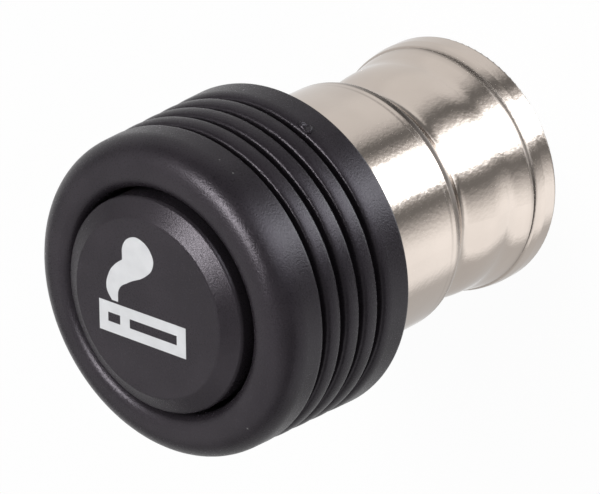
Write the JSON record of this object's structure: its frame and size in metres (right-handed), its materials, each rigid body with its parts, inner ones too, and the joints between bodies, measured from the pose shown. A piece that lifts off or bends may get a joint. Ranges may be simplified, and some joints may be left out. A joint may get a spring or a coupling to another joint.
{
  "type": "cigarette lighter plug",
  "caption": "Removable car lighter plug: ribbed black grip ring on a drawn nickel-plated sheath, with a sprung push button that carries a coiled heating element.",
  "frame": {"origin": "centre of the sheath's rim, on the plane that the plug stands on", "axes": "+Z along the axis from the rim to the push button; +X to the right of the sign on the button"},
  "size_m": [0.0262, 0.0262, 0.0365],
  "materials": {
    "grip_plastic": "fine moulded grain",
    "button_plastic": "fine moulded grain",
    "nickel_plate": "bright nickel plate on drawn steel",
    "zinc_steel": "zinc plated",
    "spring_steel": "oiled spring steel",
    "stainless": "drawn stainless, slightly heat tinted",
    "brass": "turned",
    "fibre": "punched vulcanised fibre",
    "ceramic": "unglazed steatite",
    "mica": "pressed mica sheet",
    "resistance_ribbon": "oxidised resistance alloy",
    "sign_print": "pad-printed ink"
  },
  "bodies": {
    "shell": {"grip_ring": "grip_plastic", "sheath": "nickel_plate", "guide_cup": "zinc_steel", "guide_bush": "brass", "return_spring": "spring_steel"},
    "plunger": {"button": "button_plastic", "button_insert": "brass", "stem": "zinc_steel", "lock_nut": "zinc_steel", "lock_washer": "spring_steel", "spring_seat": "zinc_steel", "buffer_washer": "fibre", "ash_guard": "stainless", "spring_washer": "spring_steel", "contact_washer": "zinc_steel", "upper_insulator": "ceramic", "element_cup": "stainless", "mica_disc": "mica", "lower_insulator": "ceramic", "coil_pin": "stainless", "heating_coil": "resistance_ribbon"}
  },
  "joints": [
    {"name": "button_press", "type": "slide", "parent": "shell", "child": "plunger", "axis": [0, 0, -1], "range_m": [0, 0.006], "stiffness_N_per_m": 1000, "springref_m": -0.005, "deforming": ["return_spring"]}
  ]
}
